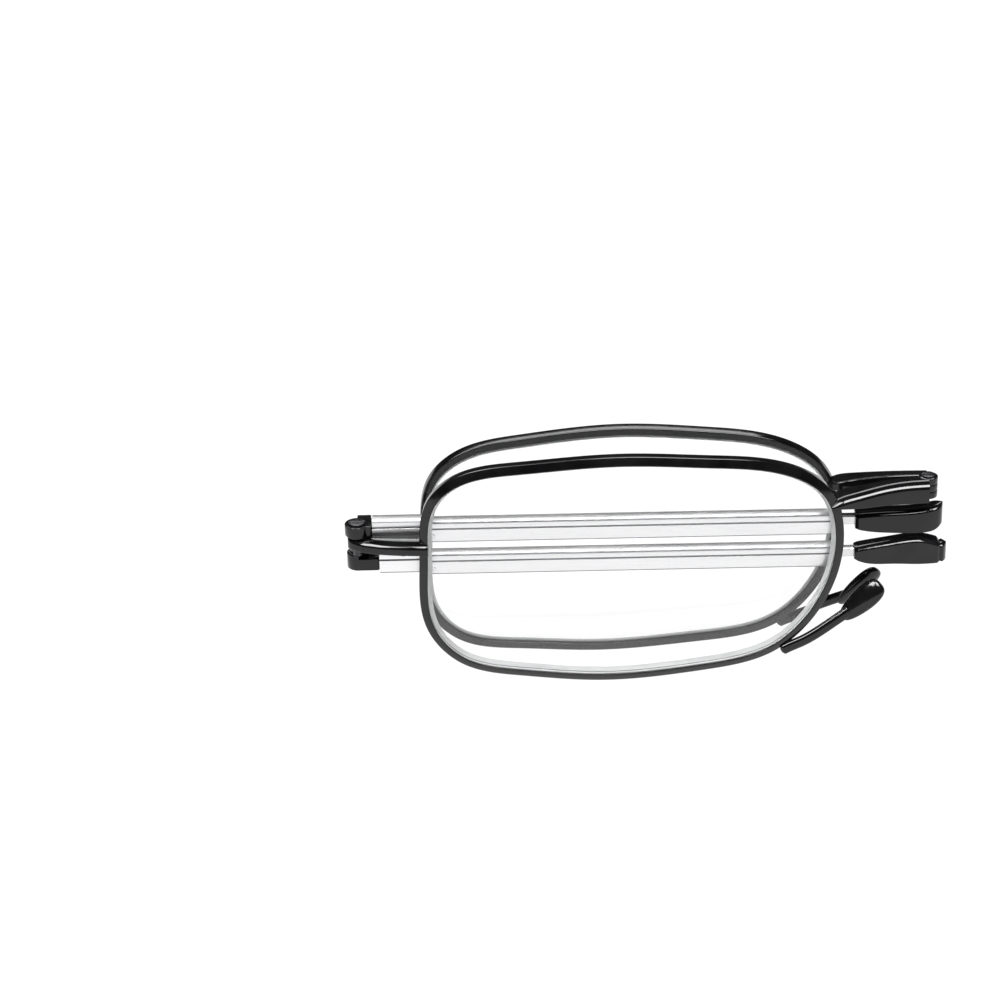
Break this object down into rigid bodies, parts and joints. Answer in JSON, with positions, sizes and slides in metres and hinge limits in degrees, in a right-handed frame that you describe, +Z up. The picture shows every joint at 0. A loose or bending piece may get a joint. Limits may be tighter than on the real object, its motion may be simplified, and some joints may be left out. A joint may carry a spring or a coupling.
{
  "type": "folding reading glasses",
  "caption": "Pocket reading glasses that fold in half at the bridge, with black metal rims, clear lenses and silver telescopic temples stowed between the lenses.",
  "frame": {"origin": "bottom centre of the folded pair's box, on the surface that it stands on", "axes": "+Z up along the lens height, +X along the folded pair towards the bridge hinge, Y through the stack of the two halves, with the front half on -Y"},
  "size_m": [0.0689, 0.0096, 0.0288],
  "materials": {
    "rim_black": "gloss black lacquer",
    "front_black": "gloss black lacquer",
    "bridge_black": "gloss black lacquer",
    "hinge_black": "gloss black lacquer, slightly worn",
    "lens_clear": "clear polished plastic lens",
    "temple_aluminium": "satin drawn",
    "rod_steel": "satin",
    "screw_steel": "blackened",
    "bush_nylon": "natural moulded",
    "tip_black": "gloss moulded",
    "pad_black": "gloss moulded"
  },
  "bodies": {
    "front_half": {"front_rim": "rim_black", "front_lens": "lens_clear", "front_end_piece": "front_black", "front_rim_screw": "screw_steel", "front_bridge": "bridge_black", "front_pad_arm": "front_black", "front_nose_pad": "pad_black", "bridge_pin": "screw_steel", "upper_hinge_screw": "screw_steel", "upper_washer": "bush_nylon"},
    "rear_half": {"rear_rim": "rim_black", "rear_lens": "lens_clear", "rear_end_piece": "front_black", "rear_rim_screw": "screw_steel", "rear_bridge": "bridge_black", "rear_pad_arm": "front_black", "rear_nose_pad": "pad_black", "lower_hinge_screw": "screw_steel", "lower_washer": "bush_nylon"},
    "upper_temple": {"upper_heel": "hinge_black", "upper_channel": "temple_aluminium", "upper_rivet": "rod_steel", "upper_collar": "bush_nylon"},
    "upper_slider": {"upper_rod": "rod_steel", "upper_rod_guide": "bush_nylon", "upper_tip": "tip_black"},
    "lower_temple": {"lower_heel": "hinge_black", "lower_channel": "temple_aluminium", "lower_rivet": "rod_steel", "lower_collar": "bush_nylon"},
    "lower_slider": {"lower_rod": "rod_steel", "lower_rod_guide": "bush_nylon", "lower_tip": "tip_black"}
  },
  "joints": [
    {"name": "bridge_fold", "type": "hinge", "parent": "front_half", "child": "rear_half", "pos_m": [0.03225, 0, 0.02225], "axis": [0, 0, -1], "range_deg": [0, 180]},
    {"name": "upper_temple_hinge", "type": "hinge", "parent": "front_half", "child": "upper_temple", "pos_m": [-0.0329, -0.00115, 0.0182], "axis": [0, 0, 1], "range_deg": [0, 0.7]},
    {"name": "lower_temple_hinge", "type": "hinge", "parent": "rear_half", "child": "lower_temple", "pos_m": [-0.0329, 0.00115, 0.014], "axis": [0, 0, -1], "range_deg": [0, 0.7]},
    {"name": "upper_temple_slide", "type": "slide", "parent": "upper_temple", "child": "upper_slider", "axis": [1, 0, 0], "range_m": [0, 0.04]},
    {"name": "lower_temple_slide", "type": "slide", "parent": "lower_temple", "child": "lower_slider", "axis": [1, 0, 0], "range_m": [0, 0.04]}
  ]
}
